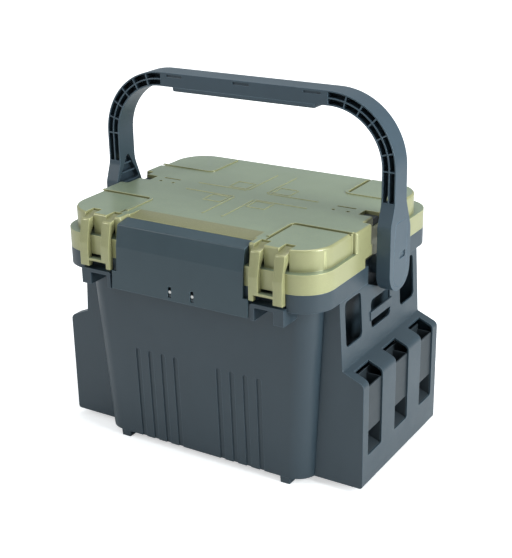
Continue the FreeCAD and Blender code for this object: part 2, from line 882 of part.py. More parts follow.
def make_end_frame():
    """The right-hand side frame: pockets below, an open plate above."""
    body = new_body("end_frame_body")
    wall = S.frame_wall
    inner = tub_half_width_low - 10
    foot = S.foot_height
    length = 2 * S.pocket_half_length
    housing = [(inner, foot), (pocket_reach, foot, 4),
               (pocket_reach, pocket_lip, S.pocket_edge_round),
               (plate_reach, pocket_top, 2), (S.half_width, rim_low), (inner, rim_low)]
    hollow = [(inner, foot + wall), (pocket_reach - wall, foot + wall, 1.5),
              (pocket_reach - wall, pocket_lip - wall, S.pocket_edge_round - wall),
              (plate_reach - wall, pocket_top - wall * 0.8, 4),
              (S.half_width - wall, rim_low - wall - 0.5), (inner, rim_low - wall - 0.5)]
    pad(body, "housing", "XZ_Plane", [housing], length, both=True)
    cut(body, "housing_hollow", "XZ_Plane", [hollow], length - 2 * wall, both=True)
    pan_depth = S.half_width - notch_reach + S.rim_wall - wall / 2
    pad(body, "recess_pan", "YZ_Plane", [recess_outline(wall)], pan_depth,
        offset=notch_reach - S.rim_wall)
    cut(body, "recess", "YZ_Plane", [recess_outline(0)], plate_reach - notch_reach,
        offset=plate_reach)
    loft(body, "SubtractiveLoft", "tub_clearance", [
        (foot, tub_outline(S.frame_gap, False)), (rim_high, tub_outline(S.frame_gap, True))])
    through = plate_reach - S.half_width + wall + 2
    cut(body, "plate_windows", "YZ_Plane", plate_windows(), through, offset=plate_reach)
    cut(body, "belt_bar_seats", "YZ_Plane", [belt_bar_outline(S.frame_gap)],
        plate_reach - belt_bar_seat(), offset=plate_reach)
    mouths = []
    for middle in cell_middles():
        half = S.cell_width / 2
        sill = foot + S.cell_sill
        mouths.append([(middle - half, sill, 3), (middle + half, sill, 3),
                       (middle + half, pocket_top + 1), (middle - half, pocket_top + 1)])
    cut(body, "pocket_mouths", "YZ_Plane", mouths, S.cell_depth + 1, offset=pocket_reach + 1)
    holes = [Circle(x, y, S.screw_radius + 0.3) for x, y in frame_screw_places()]
    cut(body, "screw_holes", "XY_Plane", holes, 4, offset=rim_low)
    return keep(body, "end_frame_right")


def make_pocket_insert():
    """The liner behind the pocket mouths: three cells with a front panel and a floor."""
    body = new_body("pocket_insert_body")
    foot = S.foot_height
    front = pocket_reach - S.frame_wall
    back = pocket_reach - S.cell_depth - 2
    floor = foot + S.cell_sill - 6
    top = pocket_top - S.cell_lip_drop
    half_span = S.cell_pitch + S.cell_width / 2 + 3
    skin = 2.0
    spine_top = pocket_lip - S.frame_wall
    profile = [(back - skin, floor - 4), (front, floor - 4), (front, floor + 6),
               (back, floor + 14), (back, spine_top), (back - skin, spine_top)]
    pad(body, "spine_and_floor", "XZ_Plane", [profile], 2 * half_span, both=True)
    webs, panels = [], []
    for middle in cell_middles():
        half = S.cell_width / 2
        low = top - S.cell_panel_height
        panels.append(rectangle(middle - half - skin, low, middle + half + skin, top))
        webs.append(rectangle(middle - half - skin, floor, middle - half, top))
        webs.append(rectangle(middle + half, floor, middle + half + skin, top))
    pad(body, "cell_webs", "YZ_Plane", webs, front - back, offset=back)
    pad(body, "cell_panels", "YZ_Plane", panels, skin, offset=front, back=True)
    return keep(body, "pocket_insert_right")


def make_belt_bar():
    """The flat bar across the middle opening, for a belt or strap."""
    body = new_body("belt_bar_body")
    seat = belt_bar_seat()
    thick = S.frame_wall / 2 + S.belt_bar_proud
    pad(body, "bar", "YZ_Plane", [belt_bar_outline(0)], thick, offset=seat)
    edge = seat + thick
    round_edges(body, "bar_edges",
                lambda e: all(abs(v.X - edge.number) < 1e-3 for v in e.Vertexes), 0.8)
    return keep(body, "belt_bar_right")


def make_frame_screws():
    """Eight upright screws, four for each side frame."""
    screws = []
    underside = rim_low - 3
    for x, y in frame_screw_places():
        for side in (1, -1):
            number = len(screws)
            shank = post("frame_shank_%d" % number, S.screw_radius, side * x, y, underside,
                         rim_low + S.screw_length - 1)
            head = post("frame_head_%d" % number, S.screw_head_radius, side * x, y,
                        underside - S.screw_head_height, underside)
            screws.append(fuse("frame_screw_%d" % number, [shank, head]))
    return keep(group("frame_screw_group", screws), "frame_screws")


# Handle
def pad_outline(grow):
    """The foot of a handle arm seen from the side, flaring round its pivot."""
    middle = S.pivot_offset
    half = S.handle_half_depth
    low = pivot_height - S.pad_drop - grow
    front = middle - S.flare_front - grow
    rear = middle + S.flare_rear + grow
    neck = pivot_height + S.flare_height + 28
    waist = pivot_height + S.flare_height
    return [(front, low, 28), (rear, low, 28), (rear, waist - 12, 30), (half, neck, 40),
            (half, neck + 12), (-half, neck + 12), (-half, neck, 30), (front, waist, 18)]


def lane(side, inner_x, outer_x, inner_top, outer_top, round_in, round_out, low, stop):
    """One ribbed channel of the arch, from the arm round to the grip."""
    right = [(inner_x, low), (outer_x, low), (outer_x, outer_top, round_out), (stop, outer_top),
             (stop, inner_top), (inner_x, inner_top, round_in)]
    if side > 0:
        return right
    return [(-corner[0],) + corner[1:] for corner in reversed(right)]


def make_handle_frame():
    """The handle: two arms, ribbed corners and a top bar in one moulding."""
    body = new_body("handle_body")
    depth = 2 * S.handle_half_depth
    low = pivot_height + S.flare_height + 20
    inner_round = S.handle_round - S.handle_thick
    arch = [(handle_inner, low), (handle_outer, low),
            (handle_outer, handle_top, S.handle_round),
            (-handle_outer, handle_top, S.handle_round), (-handle_outer, low),
            (-handle_inner, low),
            (-handle_inner, handle_top - S.handle_thick, inner_round),
            (handle_inner, handle_top - S.handle_thick, inner_round)]
    pad(body, "arch", "XZ_Plane", [arch], depth, both=True)
    pad(body, "foot_right", "YZ_Plane", [pad_outline(0)], S.handle_thick, offset=handle_inner)
    pad(body, "foot_left", "YZ_Plane", [pad_outline(0)], S.handle_thick, offset=-handle_inner,
        back=True)
    corner_x = handle_outer - S.handle_round
    corner_z = handle_top - S.handle_round
    rim = S.handle_rim
    middle = (S.handle_thick - 3 * rim) / 2
    first_in = handle_inner + rim
    first_out = first_in + middle
    second_in = first_out + rim
    second_out = handle_outer - rim
    inner_top = handle_top - S.handle_thick
    channel_low = corner_z - S.channel_reach
    lane_end = corner_x - S.handle_rim
    lanes = []
    for side in (1, -1):
        lanes.append(lane(side, first_in, first_out, inner_top + rim, inner_top + rim + middle,
                          inner_round + rim, inner_round + rim + middle, channel_low, lane_end))
        lanes.append(lane(side, second_in, second_out, handle_top - rim - middle,
                          handle_top - rim, S.handle_round - rim - middle,
                          S.handle_round - rim, channel_low, lane_end))
    cut(body, "channels", "XZ_Plane", lanes, depth + 2, both=True)
    pad(body, "channel_web", "XZ_Plane", lanes, S.handle_web, both=True)
    for side, word in ((1, "right"), (-1, "left")):
        add_corner_ribs(body, side, word, corner_x, corner_z)
    add_grip_channel(body)
    add_handle_slots(body)
    add_arm_recesses(body)
    add_handle_sockets(body)
    return keep(body, "handle_frame")


def add_corner_ribs(body, side, word, corner_x, corner_z):
    """Radial ribs across the channels of one corner, at even steps."""
    sketch = new_sketch(body, "ribs_%s_sketch" % word, "XZ_Plane", 0, across=side * corner_x,
                        along=corner_z)
    inside = S.handle_round - S.handle_thick + 0.5
    outside = S.handle_round - 0.5
    half = S.handle_rim / 2
    if side > 0:
        draw_outline(sketch, rectangle(inside, -half, outside, half))
    else:
        draw_outline(sketch, rectangle(-outside, -half, -inside, half))
    rib = body.newObject("PartDesign::Pad", "rib_" + word)
    rib.Profile = sketch
    rib.SideType = "Symmetric"
    bind(rib, "Length", 2 * S.handle_half_depth - 1)
    finish_feature(body, rib, "more")
    ribs = body.newObject("PartDesign::PolarPattern", "ribs_" + word)
    ribs.Originals = [rib]
    ribs.Axis = (sketch, ["N_Axis"])
    ribs.Mode = "Spacing"
    ribs.Reversed = side < 0
    bind(ribs, "Offset", S.handle_rib_step)
    ribs.Occurrences = 6
    finish_feature(body, ribs, "more")


def grip_channel_half():
    """Half the length of the channel under the top bar."""
    return S.grip_half_length + 1


def add_grip_channel(body):
    """The channel under the top bar that the finger grip fits into."""
    half = S.handle_half_depth - 3
    under = handle_top - S.handle_thick
    outline = rectangle(-grip_channel_half(), -half, grip_channel_half(), half, 3)
    cut(body, "grip_channel", "XY_Plane", [outline], S.handle_thick - 3.5, offset=under,
        back=True)


def add_handle_slots(body):
    """Three narrow slots along the front of the top bar."""
    level = handle_top - 2.5
    slots = []
    for place in (-1, 0, 1):
        middle = place * (S.grip_half_length - 4.8)
        slots.append(rectangle(middle - S.grip_slot_width / 2, level - S.grip_slot_height,
                               middle + S.grip_slot_width / 2, level, 1.2))
    cut(body, "grip_slots", "XZ_Plane", slots, 2, offset=S.handle_half_depth)


def add_arm_recesses(body):
    """A ribbed triangular recess on the inner side of each arm."""
    low = pivot_height + 60
    high = low + 44
    triangle = [(-25, low, 3), (26, low, 3), (1, high, 4)]
    bars = []
    for number in (1, 2):
        level = low + number * 13
        half = 22 - number * 7
        bars.append(rectangle(1 - half, level, 1 + half, level + S.handle_rim))
    for side, word in ((1, "right"), (-1, "left")):
        start = side * handle_inner
        cut(body, "arm_recess_" + word, "YZ_Plane", [triangle], 9, offset=start, back=side > 0)
        pad(body, "arm_recess_bars_" + word, "YZ_Plane", bars, 8.5,
            offset=side * (handle_inner + 9.5), back=side > 0)


def cap_outline(shrink):
    """The tongue-shaped cap over the pivot, seen from the side."""
    middle = S.pivot_offset
    half = S.cap_half_width - shrink
    low = pivot_height - S.cap_drop + shrink
    top = pivot_height + S.cap_top - shrink
    return [(middle - half, low, S.cap_half_width * 0.9), (middle + half, low,
            S.cap_half_width * 0.9), (middle + half - 2, top, 8), (middle - half + 4, top, 8)]


def add_handle_sockets(body):
    """Pivot bores from the inside and cap seats on the outside of both arms."""
    bore = Circle(S.pivot_offset, pivot_height, S.pivot_radius + 1.6 * S.running_gap)
    depth = S.handle_thick - S.cap_thick - 1.5
    for side, word in ((1, "right"), (-1, "left")):
        cut(body, "pivot_bore_" + word + "_arm", "YZ_Plane", [bore], depth,
            offset=side * handle_inner, back=side > 0)
        cut(body, "cap_seat_" + word, "YZ_Plane", [cap_outline(0)], S.cap_thick,
            offset=side * handle_outer, back=side < 0)


def make_handle_grip():
    """The finger grip that fills the channel under the top bar."""
    body = new_body("grip_body")
    under = handle_top - S.handle_thick
    half = S.handle_half_depth - 3 - S.side_gap
    lip = centred_rectangle(S.grip_half_length, S.handle_half_depth, 4)
    core = centred_rectangle(S.grip_half_length - 0.5, half, 2.5)
    pad(body, "lip", "XY_Plane", [lip], S.grip_lip, offset=under, back=True)
    pad(body, "core", "XY_Plane", [core], S.handle_thick - 6, offset=under)
    low = under - S.grip_lip
    round_edges(body, "lip_edges",
                lambda e: all(abs(v.Z - low.number) < 1e-3 for v in e.Vertexes), 2.5)
    return keep(body, "handle_grip")


def make_handle_pivot():
    """The pin that the right arm turns on, with its collar."""
    inside = notch_reach - S.rim_wall + 0.2
    end = handle_inner + S.handle_thick - S.cap_thick - 2.5
    boss_face = handle_inner - 8
    shaft = rod("pivot_shaft", S.pivot_radius, inside, end, S.pivot_offset, pivot_height)
    collar = rod("pivot_collar", S.pivot_radius + 4, boss_face, handle_inner - S.side_gap,
                 S.pivot_offset, pivot_height)
    return keep(fuse("pivot_pin", [shaft, collar]), "handle_pivot_right")


def make_handle_cap():
    """The cap over the right pivot, with a small window."""
    body = new_body("cap_body")
    pad(body, "cap", "YZ_Plane", [cap_outline(S.side_gap)], S.cap_thick,
        offset=handle_outer - S.cap_thick)
    low = pivot_height + 14
    window = rectangle(S.pivot_offset - 2, low, S.pivot_offset + 14.5, low + 9, 1)
    cut(body, "cap_window", "YZ_Plane", [window], 1.6, offset=handle_outer)
    return keep(body, "handle_cap_right")


# Lid
def plateau_outline():
    """The raised top of the lid seen from above."""
    flap_back = flap_axis_depth - S.flap_knuckle - 0.6
    cheek = flap_half_width + S.side_gap
    step = S.block_end - S.block_gap - S.bead_width
    middle = S.pivot_offset
    notch = S.notch_half_high
    outer_round = S.lid_edge_round + 1
    inner_round = 1.5
    return both_sides([
        (cheek, -flap_back), (cheek, -block_front, outer_round),
        (block_outer, -block_front, S.block_round), (block_outer, -step, inner_round),
        (S.half_width, -step, outer_round), (S.half_width, middle - notch, outer_round),
        (notch_reach, middle - notch, inner_round), (notch_reach, middle + notch, inner_round),
        (S.half_width, middle + notch, outer_round), (S.half_width, step, outer_round),
        (block_outer, step, inner_round), (block_outer, block_rear, S.block_round)])


def plateau_hollow():
    """The hollow under the raised top, clear of the flap and the latch slots."""
    wall = S.lid_wall
    back = latch_axis_depth - S.latch_knuckle - S.latch_clear - wall
    outer = latch_outer + S.latch_clear + wall
    middle = S.pivot_offset
    notch = S.notch_half_low + wall
    side = block_outer - wall
    centre_x = block_outer - S.block_round
    centre_y = block_front - S.block_round
    reach = S.block_round - wall
    slant = reach * math.sqrt(2)
    level = block_front - 3 * wall
    return both_sides([
        (outer, -back), (outer, -level),
        (centre_x + slant - level + centre_y, -level, 8), (side, reach - slant - centre_y, 8),
        (side, middle - notch, 2), (notch_reach - wall, middle - notch, 2),
        (notch_reach - wall, middle + notch, 2), (side, middle + notch, 2),
        (side, block_rear - wall, S.block_round - wall)])


def corner_gap(side, end):
    """The narrow gap round one corner block, seen from above."""
    inside = block_inner - S.block_gap
    near = S.block_end - S.block_gap
    far = latch_axis_depth - 6 if end < 0 else block_rear + 1
    out = block_outer + 1
    shape = [(inside, far), (block_inner, far), (block_inner, S.block_end, 4),
             (out, S.block_end), (out, near), (inside, near, 7)]
    return turned(shape, side, end)


def corner_bead(side, end):
    """The raised bead beside that gap."""
    outside = block_inner - S.block_gap
    inside = outside - S.bead_width
    near = S.block_end - S.block_gap - S.bead_width
    far = 135 if end < 0 else 142
    out = S.half_width - S.lid_edge_round - 1
    shape = [(inside, far), (outside, far), (outside, near + S.bead_width, 7), (out,
             near + S.bead_width), (out, near + 0.5), (inside, near + 0.5, 11)]
    return turned(shape, side, end)


def turned(shape, side, end):
    """Carries a shape drawn in the rear right corner to another corner."""
    moved = [(side * as_size(c[0]), end * as_size(c[1])) + tuple(c[2:]) for c in shape]
    return moved if side * end > 0 else moved[::-1]


def emboss_lines():
    """Raised lines across the middle of the lid."""
    half = S.emboss_width / 2
    across, along = [], []
    for level in (-12.5, 20):
        across.append(rectangle(-97, level - half, -18, level + half))
        across.append(rectangle(17, level - half, 97, level + half))
    for place in (-16, 15):
        along.append(rectangle(place - half, -94, place + half, -15))
        along.append(rectangle(place - half, 23, place + half, 104))
    return across + along


def emboss_frames():
    """Small raised rectangles in the corners between the lines."""
    frames = []
    for middle_x in (-35, 35):
        for middle_y in (-30, 38):
            half_x, half_y = 15, 14
            outer = rectangle(middle_x - half_x, middle_y - half_y, middle_x + half_x,
                              middle_y + half_y, 2)
            line = S.emboss_width * 0.7
            inner = rectangle(middle_x - half_x + line, middle_y - half_y + line,
                              middle_x + half_x - line, middle_y + half_y - line, 1)
            frames.append((outer, inner))
    return frames


def liner_boss_places():
    """Where the liner is screwed to the lid."""
    return [(side * 90, end * 100) for side in (-1, 1) for end in (-1, 1)]


def add_lid_blocks(body):
    """The gaps and beads round the corner blocks and the lines between them."""
    corners = [(side, end) for side in (1, -1) for end in (1, -1)]
    cut(body, "block_gaps", "XY_Plane", [corner_gap(*corner) for corner in corners],
        S.block_gap_depth, offset=lid_top)
    beads = [corner_bead(*corner) for corner in corners]
    pad(body, "block_beads", "XY_Plane", beads, S.bead_height, offset=lid_top)
    pad(body, "emboss_lines", "XY_Plane", emboss_lines(), S.emboss_height, offset=lid_top)
    for number, pair in enumerate(emboss_frames()):
        pad(body, "emboss_frame_%d" % number, "XY_Plane", list(pair), S.emboss_height,
            offset=lid_top)


def on_side(side, near, far, front, rear, radius=None):
    """A rectangle beside one notch; near and far are distances in from the notch."""
    inner = side * (notch_reach - far)
    outer = side * (notch_reach - near)
    low, high = (inner, outer) if side > 0 else (outer, inner)
    return rectangle(low, front, high, rear, radius)


def add_lid_sockets(body):
    """Rod and table sockets beside the handle notches."""
    wells, slots, mouths = [], [], []
    front, rear = S.socket_front, S.socket_rear
    wall = S.socket_wall
    for side in (1, -1):
        mouths.append(on_side(side, -1, S.socket_length, front, rear))
        wells.append(on_side(side, 1, S.socket_length + wall, front - wall, rear + wall))
        slots.append(on_side(side, 34, 62, 15.7, 19.3))
        slots.append(on_side(side, 57.5, 62.5, -0.3, 3.7))
        slots.append(on_side(side, 35.5, 40.5, -0.3, 3.7))
    pad(body, "socket_wells", "XY_Plane", wells, S.socket_depth + wall, offset=lid_top - 1,
        back=True)
    cut(body, "socket_slots", "XY_Plane", slots, 3, offset=lid_top)
    cut(body, "sockets", "XY_Plane", mouths, S.socket_depth, offset=lid_top)


def add_front_slope(body):
    """The slope from the raised top down to the flap's hinge."""
    back = flap_axis_depth - S.flap_knuckle - 0.6
    start = back - S.slope_length
    beyond = 4
    fall = S.slope_drop * (S.slope_length + beyond) / S.slope_length
    wedge = [(-start, lid_top), (-start, lid_top + beyond), (-back - beyond, lid_top + beyond),
             (-back - beyond, lid_top - fall)]
    cut(body, "front_slope", "YZ_Plane", [wedge[::-1]], 2 * (flap_half_width - 1), both=True)


def add_latch_slots(body):
    """Slots in the corner blocks for the latch arms, and the bores for their pins."""
    back = latch_axis_depth - S.latch_knuckle - S.latch_clear
    slots = []
    for side in (1, -1):
        for arm in (latch_inner, latch_outer - S.latch_arm_width):
            near, far = arm - S.latch_clear, arm + S.latch_arm_width + S.latch_clear
            low, high = (near, far) if side > 0 else (-far, -near)
            slots.append(rectangle(low, -block_front - 1, high, -back))
    cut(body, "latch_slots", "XY_Plane", slots, S.lid_rise, offset=lid_top)
    bore = Circle(-latch_axis_depth, latch_axis_height, S.latch_pin_radius + S.running_gap)
    length = S.latch_width + 8
    cut(body, "latch_bore_right", "YZ_Plane", [bore], length, offset=latch_inner - 4,
        back=True)
    cut(body, "latch_bore_left", "YZ_Plane", [bore], length, offset=-latch_inner + 4)


def make_lid_shell():
    """The lid's outer shell: a band, a raised top with corner blocks, and its hollow."""
    body = new_body("lid_body")
    low_band = case_outline(S.notch_half_low, False)
    high_band = case_outline(S.notch_half_high, False)
    pad(body, "band_low", "XY_Plane", [low_band], S.notch_step, offset=lid_low)
    pad(body, "band_high", "XY_Plane", [high_band], S.lid_band - S.notch_step,
        offset=lid_low + S.notch_step)
    pad(body, "plateau", "XY_Plane", [plateau_outline()], S.lid_rise, offset=ledge)
    top = lid_top.number
    round_edges(body, "lid_edges", lambda e: all(abs(v.Z - top) < 1e-3 for v in e.Vertexes),
                S.lid_edge_round)
    cut(body, "band_hollow", "XY_Plane", [inset(low_band, S.lid_wall)],
        S.lid_band - S.lid_wall, offset=lid_low, back=True)
    cut(body, "plateau_hollow", "XY_Plane", [plateau_hollow()], lid_top - lid_low - S.lid_skin,
        offset=lid_low, back=True)
    add_lid_blocks(body)
    add_front_slope(body)
    add_lid_sockets(body)
    add_latch_slots(body)
    bosses = [Circle(x, y, S.boss_radius) for x, y in liner_boss_places()]
    bores = [Circle(x, y, S.screw_radius + S.running_gap) for x, y in liner_boss_places()]
    pad(body, "liner_bosses", "XY_Plane", bosses, lid_top - liner_top - 2, offset=liner_top)
    cut(body, "liner_boss_bores", "XY_Plane", bores, S.screw_length, offset=liner_top, back=True)
    flap_bore = Circle(-flap_axis_depth, flap_axis_height, S.flap_pin_radius + S.running_gap)
    cut(body, "flap_bore", "YZ_Plane", [flap_bore], 2 * (flap_half_width + 5), both=True)
    add_knuckles(body, "lid_knuckle", lid_knuckle_stations(), True)
    return keep(body, "lid_shell")


def make_lid_liner():
    """The flat panel that closes the lid from below."""
    body = new_body("liner_body")
    outline = inset(case_outline(S.notch_half_low, False), S.lid_wall + S.side_gap)
    holes = [Circle(x, y, S.screw_radius + 0.3) for x, y in liner_boss_places()]
    pad(body, "liner", "XY_Plane", [outline] + holes, S.liner_thick, offset=liner_top,
        back=True)
    return keep(body, "lid_liner")


def make_lid_screws():
    """The four screws that hold the liner."""
    screws = []
    underside = liner_top - S.liner_thick
    for number, (x, y) in enumerate(liner_boss_places()):
        shank = post("liner_shank_%d" % number, S.screw_radius, x, y, underside,
                     liner_top + S.screw_length - 1)
        head = post("liner_head_%d" % number, S.screw_head_radius, x, y,
                    underside - S.screw_head_height, underside)
        screws.append(fuse("liner_screw_%d" % number, [shank, head]))
    return keep(group("liner_screw_group", screws), "lid_screws")


def make_lid_socket():
    """The dark insert at the bottom of the right socket."""
    body = new_body("socket_body")
    outline = on_side(1, 1.5, S.socket_length - S.side_gap, S.socket_front + S.side_gap,
                      S.socket_rear - S.side_gap, 1)
    slot = on_side(1, 6, 16, 6, 11)
    pad(body, "insert", "XY_Plane", [outline, slot], S.socket_depth - 5,
        offset=lid_top - S.socket_depth)
    return keep(body, "lid_socket_right")


def make_hinge_pin():
    """The right hinge pin."""
    reach = S.lid_knuckle_length / 2 + S.side_gap + S.tub_knuckle_length
    pin = rod("hinge_pin", S.hinge_pin_radius, S.hinge_middle - reach, S.hinge_middle + reach,
              hinge_depth, rim_high)
    return keep(pin, "hinge_pin_right")


# Latches
def latch_profile():
    """A latch arm seen from the side, from its foot up over the lid's edge to its hinge."""
    back = -latch_axis_depth + S.latch_knuckle
    low = latch_axis_height - S.latch_knuckle
    high = latch_axis_height + S.latch_knuckle
    crest = high - 5
    foot_back = -S.front_reach - S.latch_clear
    round_knuckle = S.latch_knuckle * 0.8
    return [(-latch_face, latch_low, 1.5), (foot_back, latch_low, 1),
            (foot_back, ledge + 2, 2), (-latch_axis_depth - 9, low, 4),
            (back, low, round_knuckle), (back, high, round_knuckle),
            (-latch_face + 7.5, crest, 4), (-latch_face + 0.5, ledge - 9.5, 8)]


def make_latch():
    """The right latch: two arms joined by a crossbar that hooks under the rim's ledge."""
    body = new_body("latch_body")
    profile = latch_profile()
    outer_arm = latch_outer - S.latch_arm_width
    pad(body, "inner_arm", "YZ_Plane", [profile], S.latch_arm_width, offset=latch_inner)
    bar_low = latch_bar_top - S.latch_bar_height
    foot_back = -S.front_reach - S.latch_clear
    bar = rectangle(-latch_face + 0.4, bar_low, foot_back, latch_bar_top)
    pad(body, "crossbar", "YZ_Plane", [bar], S.latch_width, offset=latch_inner)
    pad(body, "outer_arm", "YZ_Plane", [profile], S.latch_arm_width, offset=outer_arm)
    hook = rectangle(foot_back - 1, bar_low, -bay_back - 2, latch_bar_top - 0.6)
    inset_x = S.latch_arm_width * 0.7
    pad(body, "hook", "YZ_Plane", [hook], S.latch_width - 2 * inset_x,
        offset=latch_inner + inset_x)
    trim = [(latch_inner + 6, latch_low - 1), (latch_inner + S.latch_arm_width + 1,
            latch_low - 1), (latch_inner + S.latch_arm_width + 1, bar_low),
            (latch_inner + 6, bar_low, 1)]
    cut(body, "narrow_foot", "XZ_Plane", [trim], 12, offset=latch_face + 1)
    bore = Circle(-latch_axis_depth, latch_axis_height, S.latch_pin_radius + S.running_gap)
    cut(body, "latch_pin_bore", "YZ_Plane", [bore], S.latch_width + 2,
        offset=latch_inner - 1, back=True)
    return keep(body, "latch_right")


def make_latch_pin():
    """The pin that the right latch turns on."""
    pin = rod("latch_pin", S.latch_pin_radius, latch_inner - 3.5, latch_outer + 3.5,
              -latch_axis_depth, latch_axis_height)
    return keep(pin, "latch_pin_right")


# Front flap
def flap_profile():
    """The flap seen from the side: a tall face, a bevel and a top edge at its hinge."""
    crease_z = flap_low + 59
    bevel_z = lid_top - 6.5
    thick = S.flap_thick
    axis = -flap_axis_depth
    face = -flap_face
    return [(face, flap_low, 1.2), (face + thick, flap_low),
            (-S.front_reach - S.latch_clear, ledge + 1), (face + thick + 9, bevel_z - thick),
            (axis, flap_axis_height - 1), (axis, flap_axis_height + 3),
            (face + 9.1, bevel_z, 2), (face + 3.2, crease_z, 5)]


def make_front_flap():
    """The bare flap over the middle of the front."""
    body = new_body("flap_body")
    pad(body, "flap_face_plate", "YZ_Plane", [flap_profile()], 2 * flap_half_width, both=True)
    face = -flap_face
    rise = flap_notch - flap_low
    lean = 3.2 / 59
    skirt = [(face, flap_low), (face + S.flap_thick, flap_low),
             (face + S.flap_thick + rise * lean, flap_notch), (face + rise * lean, flap_notch)]
    pad(body, "flap_skirt", "YZ_Plane", [skirt], 2 * flap_half_width_low, both=True)
    ring = Circle(-flap_axis_depth, flap_axis_height, S.flap_knuckle)
    pad(body, "flap_knuckle_ring", "YZ_Plane", [ring], 2 * flap_half_width, both=True)
    side = [(face + 5, ledge + 1), (face + 17, ledge + 1, 3), (face + 24, lid_top - 8),
            (face + 10, lid_top - 8.5)]
    for word, start, back in (("right", flap_half_width, True), ("left", -flap_half_width,
                                                                   False)):
        pad(body, "flap_side_" + word, "YZ_Plane", [side], S.flap_thick, offset=start,
            back=back)
    half = S.flap_slot_width / 2
    slots = [rectangle(-S.flap_slot_left - half, flap_low + 3.5, -S.flap_slot_left + half,
                       flap_low + 19, 1.5),
             rectangle(S.flap_slot_right - half, flap_low + 3.5, S.flap_slot_right + half,
                       flap_low + 19, 1.5)]
    cut(body, "flap_slots", "XZ_Plane", slots, 8, offset=flap_face + 1)
    bore = Circle(-flap_axis_depth, flap_axis_height, S.flap_pin_radius + S.running_gap)
    cut(body, "flap_pin_bore", "YZ_Plane", [bore], 2 * flap_half_width + 2, both=True)
    return keep(body, "front_flap")


def make_flap_pin():
    """The long pin that the flap turns on."""
    reach = flap_half_width + 4.5
    pin = rod("flap_rod", S.flap_pin_radius, -reach, reach, -flap_axis_depth,
              flap_axis_height)
    return keep(pin, "flap_pin")


def make_strike_studs():
    """The two bright studs that the flap's slots close over."""
    studs = []
    for number, x in enumerate((-S.flap_slot_left, S.flap_slot_right)):
        stud = doc.addObject("Part::Cylinder", "stud_%d" % number)
        turn = FreeCAD.Rotation(FreeCAD.Vector(1, 0, 0), 90)
        stud.Placement = FreeCAD.Placement(FreeCAD.Vector(0, 0, 0), turn)
        bind(stud, "Radius", S.stud_radius)
        bind(stud, "Height", flap_face - 1.5 - stud_root)
        bind(stud, "Placement.Base.x", x)
        bind(stud, "Placement.Base.y", -stud_root)
        bind(stud, "Placement.Base.z", stud_height)
        studs.append(stud)
    return keep(group("stud_group", studs), "strike_studs")


# Tray
def make_lift_tray():
    """The lift-out tray with six compartments."""
    body = new_body("tray_body")
    half_x = tub_side_at(tray_ledge) - S.tub_wall - S.tray_clearance
    half_y = S.tray_half_depth
    wall = S.tray_wall
    pad(body, "tray_block", "XY_Plane", [centred_rectangle(half_x, half_y, 14)], S.tray_height,
        offset=tray_ledge)
    cells = []
    cell_x = (2 * half_x - 4 * wall) / 3
    for column in range(3):
        low_x = -half_x + wall + column * (cell_x + wall)
        for low_y, high_y in ((-half_y + wall, -wall / 2), (wall / 2, half_y - wall)):
            cells.append(rectangle(low_x, low_y, low_x + cell_x, high_y, S.tray_corner))
    cut(body, "tray_cells", "XY_Plane", cells, S.tray_height - wall,
        offset=tray_ledge + S.tray_height)
    return keep(body, "lift_tray")


def make_everything():
    """Builds every sub-part of the box."""
    make_tub()
    frame = make_end_frame()
    mirrored(frame, "end_frame_twin", "end_frame_left")
    mirrored(make_pocket_insert(), "pocket_insert_twin", "pocket_insert_left")
    mirrored(make_belt_bar(), "belt_bar_twin", "belt_bar_left")
    make_frame_screws()
    make_handle_frame()
    make_handle_grip()
    mirrored(make_handle_pivot(), "pivot_twin", "handle_pivot_left")
    mirrored(make_handle_cap(), "cap_twin", "handle_cap_left")
    make_lid_shell()
    make_lid_liner()
    make_lid_screws()
    mirrored(make_lid_socket(), "socket_twin", "lid_socket_left")
    mirrored(make_hinge_pin(), "hinge_pin_twin", "hinge_pin_left")
    mirrored(make_latch(), "latch_twin", "latch_left")
    mirrored(make_latch_pin(), "latch_pin_twin", "latch_pin_left")
    make_front_flap()
    make_flap_pin()
    make_strike_studs()
    make_lift_tray()


def check_everything():
    """Stops if any object failed or any sub-part is not a sound solid."""
    for item in doc.Objects:
        if "Invalid" in item.State or "Error" in item.State:
            raise RuntimeError("%s failed" % item.Name)
    for item in NODES:
        if item.Shape.isNull() or not item.Shape.isValid():
            raise RuntimeError("%s is not sound" % item.Label)
        if not item.Shape.Solids:
            raise RuntimeError("%s has no solid" % item.Label)
        if item.TypeId == "PartDesign::Body" and len(item.Shape.Solids) != 1:
            raise RuntimeError("%s is not one piece" % item.Label)


make_everything()
doc.recompute()
check_everything()
os.makedirs("parts", exist_ok=True)
for node in NODES:
    node.Shape.exportStep("parts/%s.step" % node.Label)
print("%d sub-parts written" % len(NODES))
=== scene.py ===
import bpy
import math
from mathutils import Matrix, Vector

# Looks of the fishing seat box: materials, edges, studio and camera.
# Metres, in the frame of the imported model: X to its right, Y to its back, Z up.

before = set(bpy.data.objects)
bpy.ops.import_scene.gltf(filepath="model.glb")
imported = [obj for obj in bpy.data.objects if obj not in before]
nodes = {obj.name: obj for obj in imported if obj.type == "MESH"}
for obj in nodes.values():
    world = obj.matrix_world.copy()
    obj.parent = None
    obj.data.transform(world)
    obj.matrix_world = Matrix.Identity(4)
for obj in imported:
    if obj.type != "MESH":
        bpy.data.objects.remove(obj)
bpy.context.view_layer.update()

# Where the photograph was taken from, worked out from its straight edges
PHOTO_SIZE = (512, 558)
FOCAL_PIXELS = 1180.06
CAMERA_PLACE = (0.8284, -1.3263, 0.8345)
CAMERA_AZIMUTH = 31.74
CAMERA_ELEVATION = 21.39
CAMERA_ROLL = -1.05
SENSOR = 36.0

